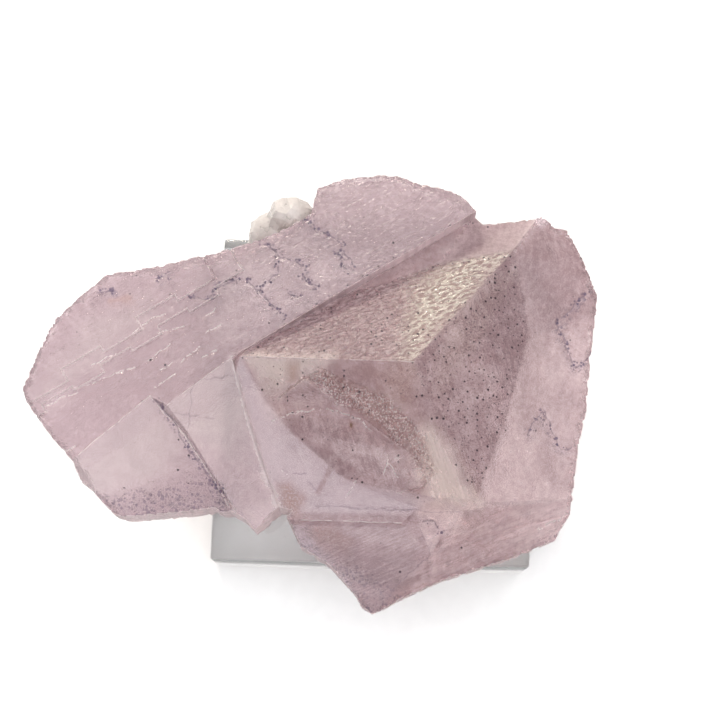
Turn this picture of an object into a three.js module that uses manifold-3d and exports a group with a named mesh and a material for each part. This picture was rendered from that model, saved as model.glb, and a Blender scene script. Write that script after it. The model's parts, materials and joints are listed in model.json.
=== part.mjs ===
// A fluorite specimen on its stand: two intergrown crystals in one piece, a three-faced octahedral corner
// that rises beside a flat, stepped crystal, on a clear acrylic block with a lump of mounting putty.
// Millimetres, +Z up. The origin is the middle of the block's underside.
import * as THREE from "three";
import { mergeVertices } from "three/addons/utils/BufferGeometryUtils.js";
import Module from "manifold-3d";

const wasm = await Module();
wasm.setup();

// Acrylic block
const BLOCK_WIDTH = 50.8;
const BLOCK_DEPTH = 53;
const BLOCK_HEIGHT = 12.7;
const BLOCK_CHAMFER = 0.5;

// Fluorite: it stands on the block, and its steep corner is the highest point
const FLOOR = BLOCK_HEIGHT;
const CEILING = 60;
const APEX = point(5.6, 0.6, 40.5);
const LEFT_FOOT = point(-20.3, 2.3, 33.2);
const FAR_FOOT = point(20.7, 20.2, 32);
const NEAR_FOOT = point(15.5, -18.6, 30.5);

// Flat crystal: its top runs from the seam's crook to the left end, and two steps dip towards the seam
const CROOK = point(-21.5, 2, 33.5);
const SEAM_END = point(14.7, 25.8, 33);
const LEFT_END = point(-52.9, -3.4, 31.5);
const LOW_STEP_EDGE = [point(-43.5, -13.4, 34), point(-33.5, -4.2, 33.4)];
const LOW_STEP_FOOT = point(-22.6, -20.4, 25.8);
const HIGH_STEP_CORNER = point(-30.8, -5.6, 33.9);
const HIGH_STEP_FOOT = point(-14.2, -19.5, 25.5);

// Growth terraces on the flat top, each with a saw-toothed front edge along the seam's direction
const TERRACES = [
  { start: [-58, -12], teeth: 9, run: 5.2, jog: 0.7, rise: 0.3 },
  { start: [-58, -8.6], teeth: 6, run: 6.8, jog: 1.1, rise: 0.6 },
];
const TERRACE_DEPTH = 60;

// Underside: broken faces that climb from the foot on the block; bearing and slope in degrees
const FOOT_CENTRE = [-3, 0];
const UNDERSIDE = [
  { bearing: 0, reach: 17, slope: 27 },
  { bearing: 52, reach: 16, slope: 33 },
  { bearing: 98, reach: 14, slope: 42 },
  { bearing: 150, reach: 18, slope: 32 },
  { bearing: 185, reach: 20, slope: 25 },
  { bearing: 235, reach: 19, slope: 28 },
  { bearing: 278, reach: 19, slope: 15 },
  { bearing: 322, reach: 19, slope: 22 },
];
const CUTTER_SIZE = 240;

// Broken outline of the whole specimen, seen from above, anticlockwise from the left end
const OUTLINE = [
  [-52.9, -3.4], [-52.4, -5], [-50.6, -7.4], [-47.7, -10.9], [-44.2, -14.5], [-43.2, -17.2], [-41.4, -18.5],
  [-38.6, -21.5], [-37.1, -22], [-33.4, -21.6], [-27.4, -20.6], [-23.8, -19.9], [-22.6, -20.5], [-21.3, -20.2],
  [-19.2, -21.4], [-17.6, -23], [-16.6, -22.1], [-14.1, -19.3], [-12.1, -19.9], [-12.9, -20.8], [-11.3, -23.9],
  [-10.7, -25.1], [-6.1, -27.8], [-3.7, -30.3], [-1.8, -32.5], [-1.3, -33.7], [0.5, -34.8], [1.7, -34.4],
  [4.8, -32.6], [10.8, -29.7], [21.5, -26.1], [26, -24.1], [28.3, -23.1], [30.4, -19.2], [30.6, -15.7],
  [31.4, -8.8], [32.6, -3.4], [33.4, 6], [34.2, 12], [34.2, 14.6], [31.5, 20.8], [29.4, 24.5], [27.4, 24.8],
  [25.3, 26.4], [24, 25.9], [20.4, 25.4], [16.2, 24.9], [14.8, 26.1], [12.7, 28.7], [9.3, 30.1], [7, 30.5],
  [2.7, 32], [0, 32.2], [-6.2, 31.4], [-9.6, 30], [-10.6, 25.6], [-14.4, 23.1], [-18.5, 21.2], [-25.1, 18.9],
  [-33.5, 16.7], [-41.5, 15.3], [-44.8, 12.3], [-48.9, 7.9], [-50.7, 3.8],
];

// Putty: three overlapping pats from the block's far edge up to the fluorite, and the gap left to the stone
const PUTTY_PATS = [
  { centre: [-17.6, 22.3, 14.5], radii: [5.6, 4.1, 6.5] },
  { centre: [-16.4, 25.2, 19.5], radii: [4.6, 3.9, 6.5] },
  { centre: [-13.8, 27, 25], radii: [4, 3.2, 4.4] },
];
const PUTTY_GAP = 0.3;

function point(x, y, z) {
  return new THREE.Vector3(x, y, z);
}

// Height of the plane through three points, as a function of x and y
function plane(p, q, r) {
  const normal = q.clone().sub(p).cross(r.clone().sub(p));
  return (x, y) => p.z - (normal.x * (x - p.x) + normal.y * (y - p.y)) / normal.z;
}

// The point of a face that lies under or over x and y, lowered by a depth
function onFace(face, x, y, depth = 0) {
  return point(x, y, face(x, y) - depth);
}

function toSolid(geometry) {
  const bare = geometry.clone();
  bare.deleteAttribute("normal");
  bare.deleteAttribute("uv");
  const merged = mergeVertices(bare, 1e-4);
  return new wasm.Manifold(new wasm.Mesh({
    numProp: 3,
    vertProperties: new Float32Array(merged.attributes.position.array),
    triVerts: new Uint32Array(merged.index.array),
  }));
}

function toGeometry(solid) {
  const mesh = solid.getMesh();
  const geometry = new THREE.BufferGeometry();
  geometry.setAttribute("position", new THREE.BufferAttribute(mesh.vertProperties, 3));
  geometry.setIndex(new THREE.BufferAttribute(mesh.triVerts, 1));
  geometry.computeVertexNormals();
  return geometry;
}

// A closed body between a surface of flat facets, named by their corners, and a level above or below it
function facetedBody(corners, facets, level) {
  const facing = level > Object.values(corners)[0].z ? -1 : 1;
  const positions = [];
  const addTriangle = (...vertices) => {
    const ordered = facing > 0 ? vertices : vertices.reverse();
    ordered.forEach((vertex) => positions.push(vertex.x, vertex.y, vertex.z));
  };
  const atLevel = (corner) => point(corner.x, corner.y, level);
  const edges = new Set();
  for (const facet of facets) {
    const contour = facet.map((name) => new THREE.Vector2(corners[name].x, corners[name].y));
    for (const triangle of THREE.ShapeUtils.triangulateShape(contour, [])) {
      const flat = triangle.map((index) => contour[index]);
      const turned = THREE.ShapeUtils.area(flat) < 0 ? triangle.slice().reverse() : triangle;
      const [a, b, c] = turned.map((index) => corners[facet[index]]);
      addTriangle(a, b, c);
      addTriangle(atLevel(c), atLevel(b), atLevel(a));
    }
    facet.forEach((name, index) => edges.add(`${name} ${facet[(index + 1) % facet.length]}`));
  }
  for (const edge of edges) {
    const [from, to] = edge.split(" ");
    if (!edges.has(`${to} ${from}`)) {
      addTriangle(corners[from], atLevel(corners[from]), atLevel(corners[to]));
      addTriangle(corners[from], atLevel(corners[to]), corners[to]);
    }
  }
  const geometry = new THREE.BufferGeometry();
  geometry.setAttribute("position", new THREE.Float32BufferAttribute(positions, 3));
  return toSolid(geometry);
}

function prism(outline, bottom, top) {
  const shape = new THREE.Shape(outline.map(([x, y]) => new THREE.Vector2(x, y)));
  const geometry = new THREE.ExtrudeGeometry(shape, { depth: top - bottom, bevelEnabled: false });
  return toSolid(geometry.translate(0, 0, bottom));
}

// The three faces of the octahedral corner, the gentler frosted margins round them and the broken terraces
// at the near side
function cornerCrystal() {
  const farFace = plane(APEX, LEFT_FOOT, FAR_FOOT);
  const rightFace = plane(APEX, FAR_FOOT, NEAR_FOOT);
  const nearFace = plane(APEX, NEAR_FOOT, LEFT_FOOT);
  const corners = {
    apex: APEX,
    leftFoot: LEFT_FOOT,
    farFoot: FAR_FOOT,
    nearFoot: NEAR_FOOT,
    farRim1: onFace(farFace, -7.1, 12.2),
    farRim2: onFace(farFace, 1.2, 14.9),
    farRim3: onFace(farFace, 9.6, 18.3),
    rightRim1: onFace(rightFace, 22.6, 13.3),
    rightRim2: onFace(rightFace, 23.4, 7.3),
    rightRim3: onFace(rightFace, 20, -5.4),
    nearRim1: onFace(nearFace, 8.8, -18),
    nearRim2: onFace(nearFace, -4.1, -15.1),
    nearRim3: onFace(nearFace, -12.6, -8.3),
    nearRim4: onFace(nearFace, -16.3, -4.1),
    farCorner: point(25.2, 27, 29.9),
    farMargin: point(20, 36, 28.5),
    seamFar: point(9, 30, 28.5),
    seamCrook: point(-25, 5, 27),
    rightMargin1: point(37, 30, 26),
    rightMargin2: point(40, 14, 25.9),
    rightMargin3: point(38, -5, 25.7),
    rightCorner: point(36, -16.5, 25),
    seamNear1: point(-22.4, -5.6, 29.8),
    seamNear2: point(-20.4, -12, 26.8),
    seamNear3: point(-17, -21, 24.2),
    notch: point(-15.5, -26, 23),
    sill1: point(-8.1, -18.3, 26.2),
    sill2: point(6.9, -19.2, 27.4),
    sill3: point(14.1, -19.6, 29.3),
    ledge1: point(-11.4, -21.2, 25),
    ledge2: point(4.7, -21.4, 26.3),
    ledgeFoot1: point(-11.7, -21.9, 24.3),
    ledgeFoot2: point(5, -22.1, 25.5),
    nearLeft: point(-12, -33, 20.5),
    nearTip: point(1.4, -39, 17.2),
    keel1: point(9, -25.7, 24.7),
    keel2: point(3.1, -32.2, 20.9),
    brow1: point(15.8, -23.4, 25.2),
    brow2: point(24.1, -21.4, 25.2),
    brow3: point(34, -18.2, 24.4),
    nearRight1: point(12, -36, 16.5),
    nearRight2: point(33, -28, 18.5),
  };
  const facets = [
    ["apex", "farFoot", "farRim3", "farRim2", "farRim1", "leftFoot"],
    ["apex", "nearFoot", "rightRim3", "rightRim2", "rightRim1", "farFoot"],
    ["apex", "leftFoot", "nearRim4", "nearRim3", "nearRim2", "nearRim1", "nearFoot"],
    ["leftFoot", "farRim1", "seamFar", "seamCrook"],
    ["farRim1", "farRim2", "farRim3", "farFoot", "farCorner", "farMargin", "seamFar"],
    ["farFoot", "rightRim1", "rightMargin2", "rightMargin1", "farCorner"],
    ["farCorner", "rightMargin1", "farMargin"],
    ["rightRim1", "rightRim2", "rightMargin2"],
    ["rightRim2", "rightRim3", "rightMargin3", "rightMargin2"],
    ["rightRim3", "nearFoot", "rightCorner", "rightMargin3"],
    ["leftFoot", "seamCrook", "seamNear1", "nearRim4"],
    ["nearRim4", "seamNear1", "seamNear2", "nearRim3"],
    ["nearRim3", "seamNear2", "seamNear3", "sill1", "nearRim2"],
    ["nearRim2", "sill1", "sill2", "nearRim1"],
    ["nearRim1", "sill2", "sill3", "nearFoot"],
    ["seamNear3", "notch", "ledgeFoot1", "ledge1", "sill1"],
    ["sill1", "ledge1", "ledge2", "sill2"],
    ["ledge1", "ledgeFoot1", "ledgeFoot2", "ledge2"],
    ["ledgeFoot1", "notch", "nearLeft", "nearTip", "keel2", "keel1", "ledgeFoot2"],
    ["sill2", "ledge2", "ledgeFoot2", "keel1", "sill3"],
    ["sill3", "keel1", "brow1", "brow2", "brow3", "rightCorner", "nearFoot"],
    ["keel1", "keel2", "nearTip", "nearRight1", "brow1"],
    ["brow1", "nearRight1", "nearRight2", "brow3", "brow2"],
  ];
  return facetedBody(corners, facets, FLOOR).subtract(flakeScar(nearFace));
}

// A flake lost from the near face: a shallow floor with a rippled step at its upper edge
function flakeScar(nearFace) {
  const corners = {
    rim1: onFace(nearFace, -7.9, 0),
    rim2: onFace(nearFace, 1.6, -3.8),
    rim3: onFace(nearFace, 7.5, -9.5),
    rim4: onFace(nearFace, 9.2, -14),
    step1: onFace(nearFace, -10.4, -0.9, 0.3),
    step2: onFace(nearFace, -1.8, -6.1, 1.5),
    step3: onFace(nearFace, 5.5, -11.2, 1.7),
    step4: onFace(nearFace, 7.8, -16.1, 0.6),
    foot1: onFace(nearFace, 4.2, -17),
    foot2: onFace(nearFace, -4, -14.6),
    foot3: onFace(nearFace, -12, -8.2),
    foot4: onFace(nearFace, -14.6, -3.8),
  };
  const facets = [
    ["rim1", "step1", "step2", "step3", "step4", "rim4", "rim3", "rim2"],
    ["step1", "foot4", "foot3", "foot2", "foot1", "step4", "step3", "step2"],
  ];
  return facetedBody(corners, facets, CEILING);
}

// The flat crystal: its top with growth terraces, and two stepped faces that dip to the seam
function flatCrystal() {
  const top = plane(CROOK, SEAM_END, LEFT_END);
  const lowStep = plane(...LOW_STEP_EDGE, LOW_STEP_FOOT);
  const highStep = plane(HIGH_STEP_CORNER, CROOK, HIGH_STEP_FOOT);
  const [lowLeft, lowRight] = LOW_STEP_EDGE;
  const lowOuter = lowLeft.clone().lerp(lowRight, -0.9);
  const seamOuter = CROOK.clone().lerp(SEAM_END, 1.15);
  const corners = {
    crook: CROOK,
    seamEnd: seamOuter,
    farRight: onFace(top, 15, 40),
    farLeft: onFace(top, -20, 40),
    leftFar: onFace(top, -60, 26),
    leftNear: onFace(top, -62, -8),
    lowOuter,
    lowRight,
    highCorner: HIGH_STEP_CORNER,
    lowNear: onFace(lowStep, -46, -32),
    low1: onFace(lowStep, -28.3, -9.5),
    low2: onFace(lowStep, -23.8, -15.8),
    low3: onFace(lowStep, -20.5, -21.5),
    lowEnd: onFace(lowStep, -19.5, -30),
    high1: onFace(highStep, -27.7, -9.3),
    high2: onFace(highStep, -23.1, -15.6),
    high3: onFace(highStep, -19.8, -21.3),
    highEnd: onFace(highStep, -14, -28),
    seam1: onFace(highStep, -19.4, -5.5),
    seam2: onFace(highStep, -17.3, -11.9),
    seam3: onFace(highStep, -14.2, -19.5),
  };
  const topFacet = [
    "crook", "seamEnd", "farRight", "farLeft", "leftFar", "leftNear", "lowOuter", "lowRight", "highCorner",
  ];
  const facets = [
    topFacet,
    ["lowOuter", "lowNear", "lowEnd", "low3", "low2", "low1", "lowRight"],
    ["lowRight", "low1", "low2", "low3", "high3", "high2", "high1", "highCorner"],
    ["low3", "lowEnd", "highEnd", "high3"],
    ["highCorner", "high1", "high2", "high3", "highEnd", "seam3", "seam2", "seam1", "crook"],
  ];
  const overTop = prism(topFacet.map((name) => [corners[name].x, corners[name].y]), FLOOR, CEILING);
  return TERRACES.reduce(
    (crystal, terrace) => crystal.add(growthTerrace(terrace, top).intersect(overTop)),
    facetedBody(corners, facets, FLOOR),
  );
}

// One low terrace: everything on the far side of a saw-toothed edge stands a little prouder
function growthTerrace({ start, teeth, run, jog, rise }, top) {
  const along = new THREE.Vector2(SEAM_END.x - CROOK.x, SEAM_END.y - CROOK.y).normalize();
  const across = new THREE.Vector2(-along.y, along.x);
  const edge = [new THREE.Vector2(...start)];
  edge.push(edge[0].clone().addScaledVector(along, run));
  for (let tooth = 1; tooth < teeth; tooth += 1) {
    const jogged = edge.at(-1).clone().addScaledVector(across, tooth % 2 ? -jog : 2 * jog);
    edge.push(jogged, jogged.clone().addScaledVector(along, run));
  }
  const back = across.clone().multiplyScalar(TERRACE_DEPTH);
  const outline = [...edge, edge.at(-1).clone().add(back), edge[0].clone().add(back)];
  const corners = Object.fromEntries(
    outline.map(({ x, y }, index) => [`corner${index}`, onFace(top, x, y, -rise)]),
  );
  return facetedBody(corners, [Object.keys(corners)], FLOOR);
}

// A half-space under one broken face of the underside
function undersideCut({ bearing, reach, slope }) {
  const turn = THREE.MathUtils.degToRad(bearing);
  const cutter = new THREE.BoxGeometry(CUTTER_SIZE, CUTTER_SIZE, CUTTER_SIZE)
    .translate(0, 0, -CUTTER_SIZE / 2)
    .rotateY(-THREE.MathUtils.degToRad(slope))
    .translate(reach, 0, FLOOR)
    .rotateZ(turn)
    .translate(...FOOT_CENTRE, 0);
  return toSolid(cutter);
}

function fluoriteSolid() {
  const grown = cornerCrystal().add(flatCrystal()).intersect(prism(OUTLINE, FLOOR, CEILING));
  return UNDERSIDE.reduce((stone, face) => stone.subtract(undersideCut(face)), grown);
}

function puttySolid(stone) {
  const pats = PUTTY_PATS.map(({ centre, radii }) => toSolid(
    new THREE.SphereGeometry(1, 20, 12).rotateX(Math.PI / 2).scale(...radii).translate(...centre),
  ));
  const lump = pats.reduce((whole, pat) => whole.add(pat));
  const shift = PUTTY_GAP / Math.SQRT2;
  const grownStone = stone.add(stone.translate([0, shift, -shift])).add(stone.translate([0, PUTTY_GAP, 0]));
  const blockTop = toSolid(
    new THREE.BoxGeometry(CUTTER_SIZE, CUTTER_SIZE, CUTTER_SIZE).translate(0, 0, FLOOR - CUTTER_SIZE / 2),
  );
  return lump.subtract(blockTop).subtract(grownStone);
}

function blockGeometry() {
  const half = [BLOCK_WIDTH / 2, BLOCK_DEPTH / 2];
  const shape = new THREE.Shape([
    new THREE.Vector2(-half[0], -half[1]),
    new THREE.Vector2(half[0], -half[1]),
    new THREE.Vector2(half[0], half[1]),
    new THREE.Vector2(-half[0], half[1]),
  ]);
  return new THREE.ExtrudeGeometry(shape, {
    depth: BLOCK_HEIGHT - 2 * BLOCK_CHAMFER,
    bevelThickness: BLOCK_CHAMFER,
    bevelSize: BLOCK_CHAMFER,
    bevelOffset: -BLOCK_CHAMFER,
    bevelSegments: 1,
  }).translate(0, 0, BLOCK_CHAMFER);
}

function piece(name, geometry, finish) {
  const mesh = new THREE.Mesh(geometry, new THREE.MeshStandardMaterial(finish));
  mesh.name = name;
  return mesh;
}

const stone = fluoriteSolid();
const specimen = new THREE.Group();
specimen.add(
  piece("fluorite", toGeometry(stone), { color: 0xc8aeb2, roughness: 0.25, transparent: true, opacity: 0.6 }),
  piece("acrylic_base", blockGeometry(), { color: 0xf4f6f6, roughness: 0.05, transparent: true, opacity: 0.3 }),
  piece("mounting_putty", toGeometry(puttySolid(stone)), { color: 0xe6dcdb, roughness: 0.55 }),
);

export default specimen;
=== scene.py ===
# %% [markdown]
# # A fluorite octahedron on its clear block
# The specimen is a pale pink fluorite: a three-faced octahedral corner has grown through a flat, stepped
# crystal, and the stone stands on a polished acrylic block with a pat of white putty behind it. The
# solids come from a fixed frame in metres. This lesson gives them their broken edges, etched faces and
# clear, pink depth.

# %% Load the fixed frame
import json
import math

import bpy
import numpy as np
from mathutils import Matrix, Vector, noise

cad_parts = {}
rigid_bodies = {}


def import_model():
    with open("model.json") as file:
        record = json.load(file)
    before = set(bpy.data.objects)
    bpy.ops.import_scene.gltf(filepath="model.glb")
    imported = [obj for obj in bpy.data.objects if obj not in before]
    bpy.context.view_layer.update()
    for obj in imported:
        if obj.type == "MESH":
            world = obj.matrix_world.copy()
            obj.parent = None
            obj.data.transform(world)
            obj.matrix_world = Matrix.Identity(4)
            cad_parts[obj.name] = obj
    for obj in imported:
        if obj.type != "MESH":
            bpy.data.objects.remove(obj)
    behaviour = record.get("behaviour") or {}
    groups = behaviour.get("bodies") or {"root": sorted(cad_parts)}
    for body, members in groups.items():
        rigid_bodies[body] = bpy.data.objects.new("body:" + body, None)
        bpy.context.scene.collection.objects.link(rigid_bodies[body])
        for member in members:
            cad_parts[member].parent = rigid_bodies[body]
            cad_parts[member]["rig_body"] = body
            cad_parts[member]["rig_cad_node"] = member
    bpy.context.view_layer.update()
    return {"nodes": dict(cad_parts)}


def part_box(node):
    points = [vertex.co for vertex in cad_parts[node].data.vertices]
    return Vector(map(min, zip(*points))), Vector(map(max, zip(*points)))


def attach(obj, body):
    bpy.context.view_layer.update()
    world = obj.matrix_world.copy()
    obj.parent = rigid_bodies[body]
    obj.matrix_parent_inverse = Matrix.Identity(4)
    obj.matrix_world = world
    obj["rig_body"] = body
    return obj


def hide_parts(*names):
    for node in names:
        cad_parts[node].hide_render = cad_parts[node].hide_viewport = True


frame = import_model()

MM = 0.001

# %% [markdown]
# ## The camera
# The specimen is seen almost from above, with a lens long enough to keep its faces true. The block's
# square top gave the viewing angle. An orbit around a point on the block is easy to read: turn, tilt and
# distance.

# %% Camera
VIEW_TURN = math.radians(1.5)
VIEW_TILT = math.radians(78)
VIEW_DISTANCE = 261 * MM
VIEW_TARGET = Vector((-2.4, 6.5, 12.7)) * MM
LENS_MM = 80
SENSOR_MM = 36
NEAREST_SEEN = 10 * MM

towards_camera = Vector((
    math.sin(VIEW_TURN) * math.cos(VIEW_TILT),
    -math.cos(VIEW_TURN) * math.cos(VIEW_TILT),
    math.sin(VIEW_TILT),
))
bpy.ops.object.select_all(action="DESELECT")
bpy.ops.object.camera_add(
    location=VIEW_TARGET + towards_camera * VIEW_DISTANCE,
    rotation=towards_camera.to_track_quat("Z", "Y").to_euler(),
)
camera = bpy.context.object
camera.data.lens = LENS_MM
camera.data.sensor_width = SENSOR_MM
camera.data.clip_start = NEAREST_SEEN
bpy.context.scene.camera = camera
print("camera at", [round(value, 4) for value in camera.location])

# %% [markdown]
# ## A copy of the stone to work on
# The frame's solids stay as they are, so a piece starts as a copy of one. Merging its loose triangles
# closes the copy, and a limited dissolve makes each face of the crystal one face of the mesh.

# %% Copy a solid of the frame
MERGE_GAP = 0.001 * MM
FLAT_ANGLE = math.radians(0.5)


def pick(piece):
    """Select one object alone and make it the active one, as a click would."""
    bpy.ops.object.select_all(action="DESELECT")
    piece.select_set(True)
    bpy.context.view_layer.objects.active = piece


def copy_of_node(node_name, piece_name):
    pick(frame["nodes"][node_name])
    bpy.ops.object.duplicate()
    piece = bpy.context.object
    piece.name = piece_name
    piece.data.name = piece_name
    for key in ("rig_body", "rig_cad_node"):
        del piece[key]
    piece.parent = None
    piece.data.materials.clear()
    bpy.ops.object.mode_set(mode="EDIT")
    bpy.ops.mesh.select_all(action="SELECT")
    bpy.ops.mesh.remove_doubles(threshold=MERGE_GAP)
    bpy.ops.mesh.dissolve_limited(angle_limit=FLAT_ANGLE)
    bpy.ops.mesh.customdata_custom_splitnormals_clear()
    bpy.ops.object.mode_set(mode="OBJECT")
    return piece


stone = copy_of_node("fluorite", "fluorite_stone")
print("stone:", len(stone.data.polygons), "flat faces")

# %% [markdown]
# ## A fine grid with sharp edges
# The copy has the right faces, but it has no points inside them to roughen. A voxel remesh would give
# points and blur every edge, and a crystal lives by its edges. So the copy is sliced by many parallel
# planes instead, as a cheese wire would: every face gets a fine grid, and the edges stay exactly where
# they were. The top is sliced finely, and the broken sides and underside more coarsely.

# %% Slice the stone into a fine grid
TOP_GRID = 0.27 * MM
SIDE_GRID = 0.7 * MM
TOP_FACING = 0.3


def slice_visible(low, high, step, axes):
    for axis in axes:
        normal = [0, 0, 0]
        normal[axis] = 1
        for count in range(1, int((high[axis] - low[axis]) / step) + 1):
            place = [0, 0, 0]
            place[axis] = low[axis] + count * step
            bpy.ops.mesh.select_all(action="SELECT")
            bpy.ops.mesh.bisect(plane_co=place, plane_no=normal)


def hide_faces(piece, hidden):
    bpy.ops.object.mode_set(mode="OBJECT")
    for face in piece.data.polygons:
        face.select = hidden(face)
    bpy.ops.object.mode_set(mode="EDIT")
    bpy.ops.mesh.hide(unselected=False)


stone_low, stone_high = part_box("fluorite")
bpy.ops.object.mode_set(mode="EDIT")
bpy.ops.mesh.select_mode(type="FACE")
hide_faces(stone, lambda face: face.normal.z > TOP_FACING)
slice_visible(stone_low, stone_high, SIDE_GRID, (0, 1, 2))
bpy.ops.mesh.reveal()
hide_faces(stone, lambda face: face.normal.z <= TOP_FACING)
slice_visible(stone_low, stone_high, TOP_GRID, (0, 1))
bpy.ops.mesh.reveal()
bpy.ops.mesh.select_all(action="SELECT")
bpy.ops.mesh.quads_convert_to_tris()
bpy.ops.object.mode_set(mode="OBJECT")
print("stone:", len(stone.data.polygons), "triangles,", len(stone.data.vertices), "points")

# %% [markdown]
# ## Where each face lies
# Each face of this stone has its own skin: one is rippled, one peppered, one scarred, and the margins are
# frosted. The corners below, in millimetres from above, fence those skins off.

# %% Corners of the faces
APEX = (5.6, 0.6)
LEFT_FOOT = (-20.3, 2.3)
FAR_FOOT = (20.7, 20.2)
NEAR_FOOT = (15.5, -18.6)
CROOK = (-21.5, 2)
SEAM_END = (14.7, 25.8)
SEAM_FOOT = (-14.2, -19.5)
STEP_CORNER = (-33.5, -4.2)
HIGH_STEP_CORNER = (-30.8, -5.6)
SEAM = [CROOK, SEAM_END]

FAR_FACE = [LEFT_FOOT, APEX, FAR_FOOT, (9.6, 18.3), (1.2, 14.9), (-7.1, 12.2)]
RIGHT_FACE = [APEX, NEAR_FOOT, (20, -5.4), (23.4, 7.3), (22.6, 13.3), FAR_FOOT]
NEAR_FACE = [APEX, LEFT_FOOT, (-16.3, -4.1), (-12.6, -8.3), (-4.1, -15.1), (8.8, -18), NEAR_FOOT]
SCAR_RISER = [(-7.9, 0), (1.6, -3.8), (7.5, -9.5), (9.2, -14), (7.8, -16.1), (5.5, -11.2), (-1.8, -6.1),
              (-10.4, -0.9)]
FLAT_TOP = [CROOK, SEAM_END, (16, 40), (-60, 40), (-60, -20), (-52, -21.2), STEP_CORNER, HIGH_STEP_CORNER]
LOW_STEP = [STEP_CORNER, (-28.3, -9.5), (-23.8, -15.8), (-20.5, -21.5), (-28, -29), (-60, -29),
            (-43.5, -13.4)]
HIGH_STEP = [CROOK, (-19.4, -5.5), (-17.3, -11.9), SEAM_FOOT, (-16, -24), (-20.5, -21.5), (-23.8, -15.8),
             (-28.3, -9.5), STEP_CORNER, HIGH_STEP_CORNER]
print("corners of the near face:", len(NEAR_FACE))

# %% [markdown]
# ## Distances to paths and fences
# A point's weight is one well inside a fence and fades to nothing across its edge. All of that rests on
# the step from the nearest path to a point. It is kept as a vector, which crosses zero on the path
# itself, so a material can draw a line much thinner than the grid. Midway between two paths the step
# flips, and a third number keeps that flip from looking like a line.

# %% Measure distances and weigh the faces
GRID_REACH = 0.4
FACE_FADE = 0.6
SCAR_FADE = 0.8


def way_from(points, paths, widths=None):
    """The step from the nearest path, in that path's widths, and the least its length can be nearby."""
    nearest = np.full(len(points), np.inf)
    ways = np.zeros((len(points), 3))
    for path, width in zip(paths, widths or [1] * len(paths)):
        corners = np.array(path, float)
        for start, end in zip(corners[:-1], corners[1:]):
            run = end - start
            offset = points - start
            share = np.clip(offset @ run / (run @ run), 0, 1)
            step = (offset - share[:, None] * run) / width
            gap = np.linalg.norm(step, axis=1)
            closer = gap < nearest
            nearest[closer] = gap[closer]
            ways[closer, :2] = step[closer]
            ways[closer, 2] = gap[closer] - GRID_REACH / width
    return ways


def gap_to(ways):
    return np.linalg.norm(ways[:, :2], axis=1)


def eased(share):
    share = np.clip(share, 0, 1)
    return share * share * (3 - 2 * share)


def inside(points, fence, fade):
    """Weight 1 inside a fence and 0 outside it, easing across the fence over the fade in millimetres."""
    ring = fence + fence[:1]
    corners = np.array(ring, float)
    odd = np.zeros(len(points), bool)
    for start, end in zip(corners[:-1], corners[1:]):
        if start[1] == end[1]:
            continue
        crosses = (start[1] > points[:, 1]) != (end[1] > points[:, 1])
        reach = start[0] + (end[0] - start[0]) * (points[:, 1] - start[1]) / (end[1] - start[1])
        odd ^= crosses & (points[:, 0] < reach)
    gap = gap_to(way_from(points, [ring]))
    return eased(np.where(odd, gap, -gap) / fade + 0.5)


def along(points, path, width):
    """Weight 1 on a path, easing to 0 at a width from it."""
    return eased(1 - gap_to(way_from(points, [path])) / width)


def coordinates(piece):
    flat = np.empty(len(piece.data.vertices) * 3, np.float32)
    piece.data.vertices.foreach_get("co", flat)
    return flat.reshape(-1, 3).astype(float)


plan = coordinates(stone)[:, :2] / MM
far_face = inside(plan, FAR_FACE, FACE_FADE)
right_face = inside(plan, RIGHT_FACE, FACE_FADE)
near_face = inside(plan, NEAR_FACE, FACE_FADE)
flat_top = inside(plan, FLAT_TOP, FACE_FADE)
scar_riser = inside(plan, SCAR_RISER, SCAR_FADE)
print("points on the far, right and near faces:",
      int(far_face.sum()), int(right_face.sum()), int(near_face.sum()))

# %% [markdown]
# ## A modifier that only bites inward
# Chips, pits, ripples and grooves all take material away, and a Displace modifier with a cloud texture
# can do them all. Its middle level of one makes every bite go inward, so that the stone never grows past
# its measured outline. A turned and stretched empty lends the texture a grain.

# %% Bite a cloud texture into a piece
LEAST_WEIGHT = 0.01


def weigh(piece, name, weights):
    group = piece.vertex_groups.new(name=name)
    for index in np.flatnonzero(weights > LEAST_WEIGHT):
        group.add([int(index)], float(weights[index]), "REPLACE")


def bite(piece, name, weights, depth, size, grain=None, bitten=0.2, spared=0.8):
    """Displace a piece inward with a cloud texture, stretched along a grain where one is given."""
    weigh(piece, name, weights)
    clouds = bpy.data.textures.new(name, "CLOUDS")
    clouds.noise_scale = size
    clouds.use_color_ramp = True
    for element, position, shade in zip(clouds.color_ramp.elements, (bitten, spared), (0, 1)):
        element.position = position
        element.color = (shade, shade, shade, 1)
    modifier = piece.modifiers.new(name, "DISPLACE")
    modifier.texture = clouds
    modifier.strength = depth
    modifier.mid_level = 1
    modifier.vertex_group = name
    modifier.texture_coords = "LOCAL"
    if grain:
        turn, stretch = grain
        bpy.ops.object.select_all(action="DESELECT")
        bpy.ops.object.empty_add(rotation=(0, 0, turn))
        guide = bpy.context.object
        guide.scale = (stretch, 1, 1)
        modifier.texture_coords = "OBJECT"
        modifier.texture_coords_object = guide
    pick(piece)
    bpy.context.view_layer.update()
    bpy.ops.object.modifier_apply(modifier=name)
    if grain:
        pick(guide)
        bpy.ops.object.delete()


# %% [markdown]
# ## Broken edges
# Fluorite cleaves cleanly, but a dug specimen has a chipped rim. The chips go on the upright faces of the
# outline, half as deep on the flat crystal. The underside broke off its rock, so it is pitted all over.

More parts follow.
